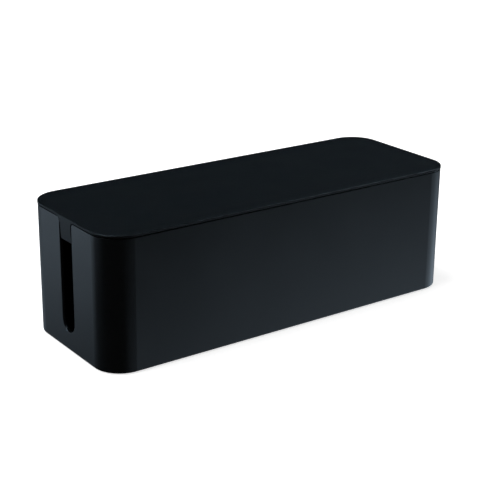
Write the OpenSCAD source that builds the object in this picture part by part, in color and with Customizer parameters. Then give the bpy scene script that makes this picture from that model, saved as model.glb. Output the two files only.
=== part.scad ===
// Cable management box. A one-piece moulded tub has a U-shaped cable slot in each end.
// A lift-off lid lies flush on its walls, and a tab at each end of the lid closes the top of a slot.
// Four rubber feet are stuck into recesses under the floor.
// Millimetres. X runs along the box and +Z is up. The origin is on the table, under the box's middle.

/* [Overall] */
// Length over the lid
box_length = 400; // [320:1:460]
// Depth over the lid
box_depth = 148; // [120:1:200]
// Height from the table to the top of the lid
box_height = 129; // [110:1:170]
// Radius of the upright corners, at the lid
corner_r = 28; // [20:0.5:38]

/* [Tub] */
// Wall thickness
wall_t = 2.6; // [2:0.1:3.6]
// Floor thickness
floor_t = 2.8; // [2.2:0.1:4]
// How far each wall leans in between its top and its foot
wall_lean = 0.5; // [0.2:0.1:2]
// Rounding where the walls turn under, outside
base_edge_r = 1.2; // [0.5:0.1:2.5]
// Rounding of the walls' outer edge along their top, and of the sides and bottoms of the slots
wall_edge_r = 0.6; // [0.3:0.1:1]
// Fillet between the walls and the floor, inside
floor_fillet_r = 4; // [2:0.5:8]

/* [Rim and seat] */
// Height of the lid's edge, as seen from the side
rim_h = 2.2; // [2:0.1:4]
// Rounding of the lid's top edge
lid_edge_r = 0.8; // [0.4:0.1:1.2]
// How far the lid's edge stands out over the walls
lid_overhang = 0.3; // [0:0.1:1]
// Thickness of the lid's panel inside its rim
panel_t = 1.8; // [1.2:0.1:1.9]
// Shadow gap under the lid's edge and round its tabs
shadow_gap = 0.9; // [0.5:0.1:1.6]
// Width of the ridge inside the wall's top that the lid rests on
ridge_w = 1.2; // [0.8:0.1:1.6]
// How far the lid's locating lip reaches down inside the walls
lip_h = 5; // [3:0.5:10]
// Thickness of the locating lip
lip_t = 1.6; // [1.2:0.1:2.4]
// Clearance between the locating lip and the walls
lip_clearance = 0.4; // [0.3:0.05:0.8]

/* [Cable slots] */
// Width of each slot
slot_w = 22; // [16:0.5:36]
// Height of the slot's lowest point above the table
slot_bottom_z = 19; // [12:0.5:40]
// Rounding of the two shoulders where a slot meets the top of the wall
shoulder_r = 4.5; // [2.5:0.5:8]

/* [Lid tabs] */
// Distance from the top of the lid down to the end of a tab
tab_drop = 23; // [16:0.5:40]
// Thickness of a tab
tab_t = 2.4; // [1.8:0.1:3]
// How far the face of a tab leans in between the rim and its end
tab_lean = 1; // [0.2:0.1:1.6]
// Rounding of a tab's two lower corners, seen from the end of the box
tab_corner_r = 1.4; // [1:0.1:3]
// Rounding of the outer edge of a tab's sides and end
tab_edge_r = 0.8; // [0.3:0.1:0.9]
// Thickness of the two gussets behind a tab
gusset_t = 1.6; // [1.2:0.1:2.4]
// Distance from the sides of a tab to the middles of its gussets
gusset_inset = 4; // [1:0.5:5]
// How far a gusset reaches in from the face of its tab
gusset_reach = 12; // [8:0.5:20]

/* [Lid ribs] */
// Depth of the ribs under the lid's panel
rib_h = 2.6; // [1:0.1:4]
// Thickness of the ribs
rib_t = 1.4; // [1:0.1:2]
// Number of ribs across the lid
cross_ribs = 7; // [3:1:11]
// Number of ribs along the lid
long_ribs = 2; // [1:1:4]

/* [Feet] */
// Diameter of a rubber foot
foot_d = 16; // [10:0.5:22]
// How far the feet stand out under the floor
foot_proud = 1; // [0.6:0.1:3]
// Depth of the recess that holds a foot
foot_recess = 1.2; // [0.6:0.1:1.6]
// Clearance round a foot in its recess
foot_clearance = 0.3; // [0.1:0.05:0.6]
// Rounding of a foot's lower edge
foot_edge_r = 0.8; // [0.3:0.1:1]
// Distance from the ends of the lid to the middles of the feet
foot_inset_x = 34; // [24:1:60]
// Distance from the long sides of the lid to the middles of the feet
foot_inset_y = 30; // [24:1:40]

/* [Hidden] */
$fn = 96;

// What one shape reaches past another so that they cut or join cleanly
overlap = 0.5;

// Heights
base_z = foot_proud;
floor_z = base_z + floor_t;
seat_z = box_height - rim_h;
wall_top_z = seat_z - shadow_gap;
panel_z = box_height - panel_t;
lip_z = seat_z - lip_h;
tab_z = box_height - tab_drop;

// Distances from the box's middle to the axes of its upright corners
axis_x = box_length / 2 - corner_r;
axis_y = box_depth / 2 - corner_r;

// Distance from a corner's axis to the wall's outer face at height z, and to its inner face
function outer_r(z) = corner_r - lid_overhang - wall_lean * (wall_top_z - z) / (wall_top_z - base_z);
function inner_r(z) = outer_r(z) - wall_t;

// The locating lip stands clear of the wall down to its lower edge
lip_outer_r = inner_r(lip_z) - lip_clearance;
lip_inner_r = lip_outer_r - lip_t;

// Slots, and the outline of the tabs that close them
slot_r = slot_w / 2;
shoulder_y = slot_r + shoulder_r;
shoulder_z = wall_top_z - shoulder_r;
tab_half_w = slot_r - shadow_gap;
tab_flare_r = shoulder_r + shadow_gap;
wall_angle = atan(wall_lean / (wall_top_z - base_z));
tab_angle = atan(tab_lean / (seat_z - tab_z));

// The panel's opening inside the rim, where the ribs run
panel_half_x = axis_x + lip_inner_r;
panel_half_y = axis_y + lip_inner_r;

// Distances from the box's middle to the feet, and the boss that keeps the floor's thickness over a foot
foot_x = box_length / 2 - foot_inset_x;
foot_y = box_depth / 2 - foot_inset_y;
foot_hole_r = foot_d / 2 + foot_clearance;
foot_boss_r = foot_hole_r + floor_t;

// Carries a section, drawn as distance from a corner's axis against height, round the four corners
// and along the four straight sides between them.
module around_box() {
    for (quarter = [0 : 3]) {
        ahead = quarter % 2 == 0 ? axis_x : axis_y;
        aside = quarter % 2 == 0 ? axis_y : axis_x;
        rotate([0, 0, 90 * quarter]) translate([ahead, aside, 0]) {
            rotate_extrude(angle = 90) children();
            rotate([90, 0, 0]) linear_extrude(height = 2 * aside) children();
        }
    }
}

// Section from a corner's axis out to a leaning face, with the lower outer edge rounded.
module leaning_section(foot_r, top_r, foot_z, top_z, edge_r) {
    lean = atan((top_r - foot_r) / (top_z - foot_z));
    centre_z = foot_z + edge_r;
    centre_r = foot_r + edge_r * tan(lean) - edge_r / cos(lean);
    polygon([
        [0, foot_z],
        [centre_r, foot_z],
        [centre_r + edge_r * cos(lean), centre_z - edge_r * sin(lean)],
        [top_r, top_z],
        [0, top_z]
    ]);
    translate([centre_r, centre_z]) circle(r = edge_r);
}

// What is cut off a square edge to round it. The edge is at the origin and its solid lies towards +X, +Y.
module edge_rounding(edge_r) {
    difference() {
        translate([-overlap, -overlap]) square(edge_r + overlap);
        translate([edge_r, edge_r]) circle(r = edge_r);
    }
}

// Section of the wall with its share of the floor, and of the ridge that carries the lid.
module wall_section() {
    cut_top_z = seat_z + overlap;
    difference() {
        union() {
            leaning_section(outer_r(base_z), outer_r(wall_top_z), base_z, wall_top_z, base_edge_r);
            translate([0, wall_top_z - overlap])
                square([inner_r(wall_top_z) + ridge_w, shadow_gap + overlap]);
        }
        leaning_section(inner_r(floor_z), inner_r(cut_top_z), floor_z, cut_top_z, floor_fillet_r);
        translate([outer_r(wall_top_z), wall_top_z]) rotate(180 - wall_angle) edge_rounding(wall_edge_r);
    }
}

// Section of the lid's rim, with its rounded top edge and the locating lip under it.
module rim_section() {
    difference() {
        translate([0, box_height + seat_z]) mirror([0, 1])
            leaning_section(corner_r, corner_r, seat_z, box_height, lid_edge_r);
        square([lip_inner_r, panel_z]);
    }
    translate([lip_inner_r, lip_z]) square([lip_t, lip_h + overlap]);
}

// Repeats a shape drawn at the left end of the box at its right end.
module both_ends() {
    children();
    mirror([1, 0, 0]) children();
}

// Places a shape on a face at the left end that leans in below its top edge. X then runs straight in from
// the face, Y across it and Z up it, with heights counted as those of the box.
module on_left_face(top_x, top_z, angle) {
    translate([top_x, 0, top_z]) rotate([0, -angle, 0]) translate([0, 0, -top_z]) children();
}

// Extrudes an outline, drawn as width against height, inwards from the face X = 0.
module inwards(reach) {
    rotate([90, 0, 90]) linear_extrude(height = reach) children();
}

// Rounds the face's edge along an arc of an outline, from one angle to another. The solid lies outside
// the arc, as at a slot, or inside it, as at a corner of a tab.
module arc_edge_cut(arc_r, edge_r, from_angle, to_angle, solid_inside = false) {
    rotate([90, 0, 90]) rotate(from_angle) rotate_extrude(angle = to_angle - from_angle)
        translate([arc_r, 0]) mirror([solid_inside ? 1 : 0, 0]) edge_rounding(edge_r);
}

// Outline of a slot: round at the bottom, with rounded shoulders and open at the top.
module slot_outline() {
    translate([0, slot_bottom_z + slot_r]) circle(r = slot_r);
    translate([-slot_r, slot_bottom_z + slot_r])
        square([slot_w, wall_top_z - slot_bottom_z - slot_r]);
    difference() {
        translate([-shoulder_y, shoulder_z]) square([2 * shoulder_y, shoulder_r + rim_h]);
        for (side = [-1, 1]) translate([side * shoulder_y, shoulder_z]) circle(r = shoulder_r);
    }
}

// Everything cut away at a slot, on the left wall's face: the slot, and the rounding of its outer edge
// round the bottom and up both sides.
module slot_cut() {
    bottom_centre_z = slot_bottom_z + slot_r;
    translate([-overlap, 0, 0]) inwards(wall_t + floor_fillet_r + overlap) slot_outline();
    translate([0, 0, bottom_centre_z]) {
        arc_edge_cut(slot_r, wall_edge_r, 180, 360);
        for (side = [0, 1])
            mirror([0, side, 0]) translate([0, slot_r, 0])
                linear_extrude(height = shoulder_z - bottom_centre_z) edge_rounding(wall_edge_r);
    }
}

// Outline of a tab: the slot's own outline, drawn in by the shadow gap and cut off straight below.
module tab_outline() {
    difference() {
        translate([-shoulder_y, shoulder_z]) square([2 * shoulder_y, seat_z + overlap - shoulder_z]);
        for (side = [-1, 1]) translate([side * shoulder_y, shoulder_z]) circle(r = tab_flare_r);
    }
    translate([-tab_half_w, tab_z + tab_corner_r])
        square([2 * tab_half_w, shoulder_z - tab_z - tab_corner_r + overlap]);
    translate([-tab_half_w + tab_corner_r, tab_z])
        square([2 * (tab_half_w - tab_corner_r), tab_corner_r + overlap]);
    for (side = [-1, 1])
        translate([side * (tab_half_w - tab_corner_r), tab_z + tab_corner_r]) circle(r = tab_corner_r);
}

// What rounds the outer edge of a tab, on its face: along its end, round its lower corners and up its two
// sides as far as its shoulders.
module tab_edge_cut() {
    corner_y = tab_half_w - tab_corner_r;
    corner_z = tab_z + tab_corner_r;
    for (side = [0, 1]) mirror([0, side, 0]) {
        translate([0, tab_half_w, corner_z]) mirror([0, 1, 0])
            linear_extrude(height = shoulder_z - corner_z) edge_rounding(tab_edge_r);
        translate([0, corner_y, corner_z]) arc_edge_cut(tab_corner_r, tab_edge_r, 270, 360, true);
    }
    translate([0, -corner_y, tab_z]) rotate([-90, -90, 0])
        linear_extrude(height = 2 * corner_y) edge_rounding(tab_edge_r);
}

// Side view of a gusset: a web behind the tab that dies away before the tab's end.
module gusset_side() {
    polygon([
        [tab_lean + tab_t / 2, panel_z + overlap],
        [tab_lean + tab_t / 2, tab_z + tab_t],
        [tab_lean + tab_t, tab_z + tab_t],
        [gusset_reach, seat_z],
        [gusset_reach, panel_z + overlap]
    ]);
}

// Stands a side view, drawn as distance in from the left end against height, up across the box.
module along_left_end(width) {
    translate([-box_length / 2, width / 2, 0]) rotate([90, 0, 0]) linear_extrude(height = width) children();
}

// A tab: its face leaves the rim flush and leans in towards its end.
module lid_tab() {
    intersection() {
        on_left_face(-box_length / 2, seat_z, tab_angle) difference() {
            inwards(tab_t) tab_outline();
            tab_edge_cut();
        }
        translate([-box_length / 2, -shoulder_y - overlap, 0]) cube([corner_r, box_depth, box_height]);
    }
    for (side = [-1, 1])
        translate([0, side * (tab_half_w - gusset_inset), 0]) along_left_end(gusset_t) gusset_side();
}

// Shallow ribs under the panel, which run from rim to rim.
module panel_ribs() {
    run_x = panel_half_x + overlap;
    run_y = panel_half_y + overlap;
    translate([0, 0, panel_z - rib_h]) {
        for (k = [1 : cross_ribs])
            translate([panel_half_x * (2 * k / (cross_ribs + 1) - 1) - rib_t / 2, -run_y, 0])
                cube([rib_t, 2 * run_y, rib_h + overlap]);
        for (k = [1 : long_ribs])
            translate([-run_x, panel_half_y * (2 * k / (long_ribs + 1) - 1) - rib_t / 2, 0])
                cube([2 * run_x, rib_t, rib_h + overlap]);
    }
}

// Repeats a shape at the place of each foot.
module at_feet() {
    for (x = [-foot_x, foot_x])
        for (y = [-foot_y, foot_y])
            translate([x, y, 0]) children();
}

module box_body() {
    color([0.07, 0.075, 0.085])
    difference() {
        union() {
            around_box() wall_section();
            translate([-axis_x, -axis_y, base_z]) cube([2 * axis_x, 2 * axis_y, floor_t]);
            at_feet() translate([0, 0, base_z]) cylinder(r = foot_boss_r, h = floor_t + foot_recess);
        }
        at_feet() translate([0, 0, base_z - overlap]) cylinder(r = foot_hole_r, h = foot_recess + overlap);
        both_ends() on_left_face(lid_overhang - box_length / 2, wall_top_z, wall_angle) slot_cut();
    }
}

module lid() {
    color([0.08, 0.085, 0.095]) {
        difference() {
            around_box() rim_section();
            both_ends() translate([-box_length / 2, -shoulder_y - overlap, lip_z - overlap])
                cube([corner_r, 2 * (shoulder_y + overlap), lip_h + overlap]);
        }
        translate([-axis_x, -axis_y, panel_z]) cube([2 * axis_x, 2 * axis_y, panel_t]);
        panel_ribs();
        both_ends() lid_tab();
    }
}

module foot() {
    color([0.04, 0.04, 0.045])
    rotate_extrude() {
        translate([0, foot_edge_r]) square([foot_d / 2, foot_proud + foot_recess - foot_edge_r]);
        square([foot_d / 2 - foot_edge_r, foot_edge_r]);
        translate([foot_d / 2 - foot_edge_r, foot_edge_r]) circle(r = foot_edge_r);
    }
}

module foot_front_left() translate([-foot_x, -foot_y, 0]) foot();
module foot_front_right() translate([foot_x, -foot_y, 0]) foot();
module foot_back_left() translate([-foot_x, foot_y, 0]) foot();
module foot_back_right() translate([foot_x, foot_y, 0]) foot();

box_body();
lid();
foot_front_left();
foot_front_right();
foot_back_left();
foot_back_right();
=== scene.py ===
import math

import bpy
from mathutils import Matrix, Vector


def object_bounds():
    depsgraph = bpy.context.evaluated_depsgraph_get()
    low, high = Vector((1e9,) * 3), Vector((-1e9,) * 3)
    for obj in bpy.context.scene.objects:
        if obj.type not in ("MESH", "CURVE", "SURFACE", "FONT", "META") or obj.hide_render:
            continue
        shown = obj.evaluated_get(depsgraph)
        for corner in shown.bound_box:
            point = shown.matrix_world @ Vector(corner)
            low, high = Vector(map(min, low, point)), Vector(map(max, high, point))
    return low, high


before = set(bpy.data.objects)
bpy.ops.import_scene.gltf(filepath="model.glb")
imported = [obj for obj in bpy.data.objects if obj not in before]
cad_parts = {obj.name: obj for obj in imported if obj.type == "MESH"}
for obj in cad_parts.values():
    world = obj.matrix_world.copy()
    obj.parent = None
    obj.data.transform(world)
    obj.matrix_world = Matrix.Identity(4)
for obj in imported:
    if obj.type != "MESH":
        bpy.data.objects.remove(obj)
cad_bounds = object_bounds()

# Looks of the cable management box: satin black mouldings on rubber feet, on a white studio floor.
# Metres, in the frame's own axes: X along the box, +Z up, the origin on the floor under its middle.
# A viewer at azimuth 0 looks along +Y, and one at azimuth 90 along -X. Angles are in degrees.

# Camera: where it stands round the box's middle, and how far the view's centre line passes from that middle
CAMERA_AZIMUTH = -36.38
CAMERA_ELEVATION = 17.94
CAMERA_ROLL = 0.81
CAMERA_DISTANCE = 1.23345
AIM_RIGHT = 0.0092
AIM_UP = 0.04188
FOCAL_LENGTH_PX = 1255.4
PRINCIPAL_POINT_PX = (258.0, 200.0)
IMAGE_PX = 480.0
SENSOR_MM = 36.0

# Plastic: a near-black moulding compound. The lid is duller than the tub.
TUB_BLACK = (0.0020, 0.0025, 0.0030)
LID_BLACK = (0.0019, 0.0025, 0.0030)
TUB_ROUGHNESS = 0.30
LID_ROUGHNESS = 0.42
TUB_SPECULAR = 0.5
LID_SPECULAR = 0.28
PLASTIC_IOR = 1.5
# Faint mottling: how coarse it is, and how far it varies the colour and the roughness either way
MOTTLE_PER_M = 22.0
MOTTLE_DETAIL = 3.0
MOTTLE_SHADE = 0.1
MOTTLE_GLOSS = 0.02
# Range in which most of the mottling's noise lies
NOISE_RANGE = (0.3, 0.7)
# Fine spark-eroded grain
GRAIN_PER_M = 2600.0
GRAIN_DETAIL = 2.0
GRAIN_HEIGHT = 0.000012
GRAIN_STRENGTH = 0.6
# Edges: softened over this radius, and less rough where the surface turns, from a slight turn to a full one.
# A turn is given as the cosine between the softened normal and the true one.
EDGE_RADIUS = 0.0005
EDGE_SAMPLES = 6
SLIGHT_TURN = 0.995
FULL_TURN = 0.85
EDGE_POLISH = 0.12
# Rubber: dull, with a fine speckle between two shades that varies the roughness either way too
RUBBER_BLACK = (0.010, 0.010, 0.011)
RUBBER_SHADES = (0.7, 1.4)
RUBBER_ROUGHNESS = 0.72
RUBBER_GLOSS = 0.1
SPECKLE_PER_M = 1800.0
SPECKLE_DETAIL = 4.0
SPECKLE_HEIGHT = 0.00006
SPECKLE_STRENGTH = 0.7

# Studio floor, which lies just under the feet, and the even light from all round
WHITE = (1.0, 1.0, 1.0, 1.0)
FLOOR_HALF = 12.0
FLOOR_DROP = 0.0001
FLOOR_PAINT = (0.8, 0.8, 0.8, 1.0)
FLOOR_GLOW = 0.7
FILL_LEVEL = 0.35
# Soft lamp, high at the left and a little behind the box
LAMP_AZIMUTH = -120.0
LAMP_ELEVATION = 68.0
LAMP_DISTANCE = 2.2
LAMP_WIDTH = 1.6
LAMP_POWER = 42.0
# Tent: the studio as the plastic reflects it, dark with soft patches of light
TENT_RADIUS = 6.0
TENT_SUBDIVISIONS = 5
TENT_TINT = (0.80, 1.0, 1.2, 1.0)
# Share of a patch's reach over which it fades out towards its edge
GLOW_FADE = 0.6
# The patches: azimuth, elevation, half width, half height, brightness
TENT_GLOWS = [
    (-144.0, -11.5, 20.5, 14.0, 0.88),  # white card at the left, behind the box
    (-113.5, -11.5, 24.0, 7.0, 0.38),   # its spill towards the front
    (-175.0, -24.0, 20.0, 14.0, 0.30),  # its spill towards the back
    (14.0, -33.0, 25.0, 6.0, 0.62),     # near edge of the pale table
    (72.0, -36.5, 41.0, 26.0, 1.40),    # pale table at the right
    (98.0, -26.0, 36.0, 15.0, 0.44),    # its far end
    (110.0, 50.0, 41.0, 40.0, 0.14),    # dim ceiling at the right
    (-112.0, 63.0, 15.0, 13.0, 30.0),   # softbox at the left
    (80.0, 41.0, 14.0, 11.0, 14.0),     # softbox at the right
]


def direction(azimuth, elevation):
    """Unit vector from the box towards a viewer at that azimuth and elevation."""
    a, e = math.radians(azimuth), math.radians(elevation)
    return Vector((math.sin(a) * math.cos(e), -math.cos(a) * math.cos(e), math.sin(e)))


def add_node(tree, kind, inputs=None, **settings):
    """A new node with its settings. Inputs go by name or number: a socket is linked, a value is set."""
    made = tree.nodes.new(kind)
    for name, value in settings.items():
        setattr(made, name, value)
    for name, value in (inputs or {}).items():
        if isinstance(value, bpy.types.NodeSocket):
            tree.links.new(value, made.inputs[name])
        else:
            made.inputs[name].default_value = value
    return made


def new_material(name):
    """An empty node material, its tree, and the tree's output node."""
    material = bpy.data.materials.new(name)
    material.use_nodes = True
    material.node_tree.nodes.clear()
    output = material.node_tree.nodes.new("ShaderNodeOutputMaterial")
    return material, material.node_tree, output


def shades_of(tree, factor, colour, darkest, lightest):
    """The colour, varied by a factor from its darkest shade to its lightest."""
    # A Mix node repeats its names for each kind of value: 6, 7 and output 2 are the ones for colours
    mix = add_node(tree, "ShaderNodeMix", {
        0: factor,
        6: (*(darkest * c for c in colour), 1.0),
        7: (*(lightest * c for c in colour), 1.0),
    }, data_type="RGBA")
    return mix.outputs[2]


def moulded_plastic(name, black, roughness, specular):
    """Satin moulded plastic: faint mottling in colour and gloss, fine grain, and edges a little smoother."""
    material, tree, output = new_material(name)
    place = add_node(tree, "ShaderNodeTexCoord").outputs["Object"]
    mottle = add_node(tree, "ShaderNodeTexNoise", {
        "Vector": place, "Scale": MOTTLE_PER_M, "Detail": MOTTLE_DETAIL}).outputs["Fac"]
    grain = add_node(tree, "ShaderNodeTexNoise", {
        "Vector": place, "Scale": GRAIN_PER_M, "Detail": GRAIN_DETAIL}).outputs["Fac"]
    colour = shades_of(tree, mottle, black, 1.0 - MOTTLE_SHADE, 1.0 + MOTTLE_SHADE)
    bevel = add_node(tree, "ShaderNodeBevel", {"Radius": EDGE_RADIUS}, samples=EDGE_SAMPLES)
    softened = bevel.outputs["Normal"]
    flat = add_node(tree, "ShaderNodeNewGeometry").outputs["True Normal"]
    turn = add_node(tree, "ShaderNodeVectorMath", {0: softened, 1: flat}, operation="DOT_PRODUCT")
    wear = add_node(tree, "ShaderNodeMapRange", {
        "Value": turn.outputs["Value"], "From Min": SLIGHT_TURN, "From Max": FULL_TURN,
        "To Min": 0.0, "To Max": EDGE_POLISH})
    gloss = add_node(tree, "ShaderNodeMapRange", {
        "Value": mottle, "From Min": NOISE_RANGE[0], "From Max": NOISE_RANGE[1],
        "To Min": roughness - MOTTLE_GLOSS, "To Max": roughness + MOTTLE_GLOSS})
    worn = add_node(tree, "ShaderNodeMath", {0: gloss.outputs["Result"], 1: wear.outputs["Result"]},
                    operation="SUBTRACT")
    bump = add_node(tree, "ShaderNodeBump", {
        "Height": grain, "Distance": GRAIN_HEIGHT, "Strength": GRAIN_STRENGTH, "Normal": softened})
    shader = add_node(tree, "ShaderNodeBsdfPrincipled", {
        "Base Color": colour, "Roughness": worn.outputs["Value"],
        "Normal": bump.outputs["Normal"], "IOR": PLASTIC_IOR, "Specular IOR Level": specular})
    tree.links.new(shader.outputs["BSDF"], output.inputs["Surface"])
    return material


def foot_rubber():
    """Dull black rubber with a fine speckle."""
    material, tree, output = new_material("foot_rubber")
    place = add_node(tree, "ShaderNodeTexCoord").outputs["Object"]
    speckle = add_node(tree, "ShaderNodeTexNoise", {
        "Vector": place, "Scale": SPECKLE_PER_M, "Detail": SPECKLE_DETAIL}).outputs["Fac"]
    colour = shades_of(tree, speckle, RUBBER_BLACK, *RUBBER_SHADES)
    roughness = add_node(tree, "ShaderNodeMapRange", {
        "Value": speckle,
        "To Min": RUBBER_ROUGHNESS - RUBBER_GLOSS, "To Max": RUBBER_ROUGHNESS + RUBBER_GLOSS})
    bump = add_node(tree, "ShaderNodeBump", {
        "Height": speckle, "Distance": SPECKLE_HEIGHT, "Strength": SPECKLE_STRENGTH})
    shader = add_node(tree, "ShaderNodeBsdfPrincipled", {
        "Base Color": colour, "Roughness": roughness.outputs["Result"], "Normal": bump.outputs["Normal"]})
    tree.links.new(shader.outputs["BSDF"], output.inputs["Surface"])
    return material


def dress_nodes():
    """Gives each CAD node its material."""
    tub = moulded_plastic("tub_plastic", TUB_BLACK, TUB_ROUGHNESS, TUB_SPECULAR)
    lid = moulded_plastic("lid_plastic", LID_BLACK, LID_ROUGHNESS, LID_SPECULAR)
    rubber = foot_rubber()
    for name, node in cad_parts.items():
        material = rubber if name.startswith("foot_") else {"box_body": tub, "lid": lid}[name]
        node.data.materials.clear()
        node.data.materials.append(material)


def make_camera():
    """The camera, placed and aimed by the numbers above."""
    middle = (cad_bounds[0] + cad_bounds[1]) / 2
    azimuth, roll = math.radians(CAMERA_AZIMUTH), math.radians(CAMERA_ROLL)
    back = direction(CAMERA_AZIMUTH, CAMERA_ELEVATION)
    right = Vector((math.cos(azimuth), math.sin(azimuth), 0.0))
    up = back.cross(right)
    rolled_right = math.cos(roll) * right + math.sin(roll) * up
    rolled_up = math.cos(roll) * up - math.sin(roll) * right
    data = bpy.data.cameras.new("camera")
    camera = bpy.data.objects.new("camera", data)
    bpy.context.scene.collection.objects.link(camera)
    turned = Matrix((rolled_right, rolled_up, back)).transposed().to_4x4()
    place = middle + back * CAMERA_DISTANCE + rolled_right * AIM_RIGHT + rolled_up * AIM_UP
    camera.matrix_world = Matrix.Translation(place) @ turned
    data.sensor_width = SENSOR_MM
    data.lens = FOCAL_LENGTH_PX / IMAGE_PX * SENSOR_MM
    data.shift_x = (IMAGE_PX / 2 - PRINCIPAL_POINT_PX[0]) / IMAGE_PX
    data.shift_y = (PRINCIPAL_POINT_PX[1] - IMAGE_PX / 2) / IMAGE_PX
    data.dof.use_dof = False
    bpy.context.scene.camera = camera


def seen_by_viewer(tree):
    """1 for what a viewer sees, straight or by a glossy or transmitted ray, and 0 for diffuse light."""
    path = tree.nodes.new("ShaderNodeLightPath")
    straight_or_glossy = add_node(tree, "ShaderNodeMath", {
        0: path.outputs["Is Camera Ray"], 1: path.outputs["Is Glossy Ray"]}, operation="MAXIMUM")
    seen = add_node(tree, "ShaderNodeMath", {
        0: straight_or_glossy.outputs["Value"], 1: path.outputs["Is Transmission Ray"]}, operation="MAXIMUM")
    return seen.outputs["Value"]


def make_floor():
    """A pale floor, white to a viewer, that keeps the box's shadow. The plastic reflects the tent instead."""
    bpy.ops.mesh.primitive_plane_add(size=2 * FLOOR_HALF, location=(0, 0, -FLOOR_DROP))
    floor = bpy.context.object
    floor.name = "floor"
    material, tree, output = new_material("floor_white")
    paint = add_node(tree, "ShaderNodeBsdfDiffuse", {"Color": FLOOR_PAINT})
    glow = add_node(tree, "ShaderNodeEmission", {"Strength": FLOOR_GLOW})
    lit = add_node(tree, "ShaderNodeAddShader", {0: paint.outputs["BSDF"], 1: glow.outputs["Emission"]})
    mix = add_node(tree, "ShaderNodeMixShader", {
        0: seen_by_viewer(tree), 1: paint.outputs["BSDF"], 2: lit.outputs["Shader"]})
    tree.links.new(mix.outputs["Shader"], output.inputs["Surface"])
    floor.data.materials.append(material)
    floor.visible_glossy = False


def tent_glow(tree, outward, azimuth, elevation, half_width, half_height, brightness):
    """Brightness of one soft oval patch, full at its middle, for a direction outward from the box."""
    patch = add_node(tree, "ShaderNodeMapping", {
        "Vector": outward,
        "Location": direction(azimuth, elevation),
        "Rotation": (0.0, math.radians(-elevation), math.radians(azimuth - 90.0)),
        "Scale": (1.0, math.radians(half_width), math.radians(half_height)),
    }, vector_type="TEXTURE")
    ball = add_node(tree, "ShaderNodeTexGradient", {"Vector": patch.outputs["Vector"]},
                    gradient_type="SPHERICAL")
    level = add_node(tree, "ShaderNodeMapRange", {
        "Value": ball.outputs["Fac"], "From Min": 0.0, "From Max": GLOW_FADE, "To Max": brightness,
    }, interpolation_type="SMOOTHSTEP")
    return level.outputs["Result"]


def make_tent():
    """The tent round the studio, which only reflections see."""
    bpy.ops.mesh.primitive_ico_sphere_add(subdivisions=TENT_SUBDIVISIONS, radius=TENT_RADIUS)
    tent = bpy.context.object
    tent.name = "light_tent"
    material, tree, output = new_material("tent_light")
    place = add_node(tree, "ShaderNodeTexCoord").outputs["Object"]
    outward = add_node(tree, "ShaderNodeVectorMath", {0: place}, operation="NORMALIZE").outputs["Vector"]
    total = tent_glow(tree, outward, *TENT_GLOWS[0])
    for glow in TENT_GLOWS[1:]:
        total = add_node(tree, "ShaderNodeMath", {0: total, 1: tent_glow(tree, outward, *glow)},
                         operation="ADD").outputs["Value"]
    light = add_node(tree, "ShaderNodeEmission", {"Color": TENT_TINT, "Strength": total})
    tree.links.new(light.outputs["Emission"], output.inputs["Surface"])
    # Reflections find the tent by themselves, so it isn't sampled as a lamp
    material.cycles.emission_sampling = "NONE"
    tent.data.materials.append(material)
    for ray in ("camera", "diffuse", "transmission", "volume_scatter", "shadow"):
        setattr(tent, f"visible_{ray}", False)


def make_world():
    """An even fill of light from all round, white to a viewer. The plastic reflects the tent instead."""
    world = bpy.data.worlds.new("studio")
    world.use_nodes = True
    tree = world.node_tree
    tree.nodes.clear()
    fill = add_node(tree, "ShaderNodeBackground", {"Color": WHITE, "Strength": FILL_LEVEL})
    white = add_node(tree, "ShaderNodeBackground", {"Color": WHITE, "Strength": 1.0})
    mix = add_node(tree, "ShaderNodeMixShader", {
        0: seen_by_viewer(tree), 1: fill.outputs["Background"], 2: white.outputs["Background"]})
    output = tree.nodes.new("ShaderNodeOutputWorld")
    tree.links.new(mix.outputs["Shader"], output.inputs["Surface"])
    bpy.context.scene.world = world
    world.cycles_visibility.glossy = False


def make_lamp():
    """The soft lamp, turned towards the box. Its disc isn't reflected: the tent has the softboxes."""
    data = bpy.data.lights.new("softbox", "AREA")
    data.shape = "DISK"
    data.size = LAMP_WIDTH
    data.energy = LAMP_POWER
    lamp = bpy.data.objects.new("softbox", data)
    bpy.context.scene.collection.objects.link(lamp)
    towards = direction(LAMP_AZIMUTH, LAMP_ELEVATION)
    lamp.location = towards * LAMP_DISTANCE
    lamp.rotation_mode = "QUATERNION"
    lamp.rotation_quaternion = towards.to_track_quat("Z", "Y")
    lamp.visible_glossy = False


make_camera()
dress_nodes()
make_floor()
make_tent()
make_world()
make_lamp()
bpy.context.scene.view_settings.view_transform = "Standard"
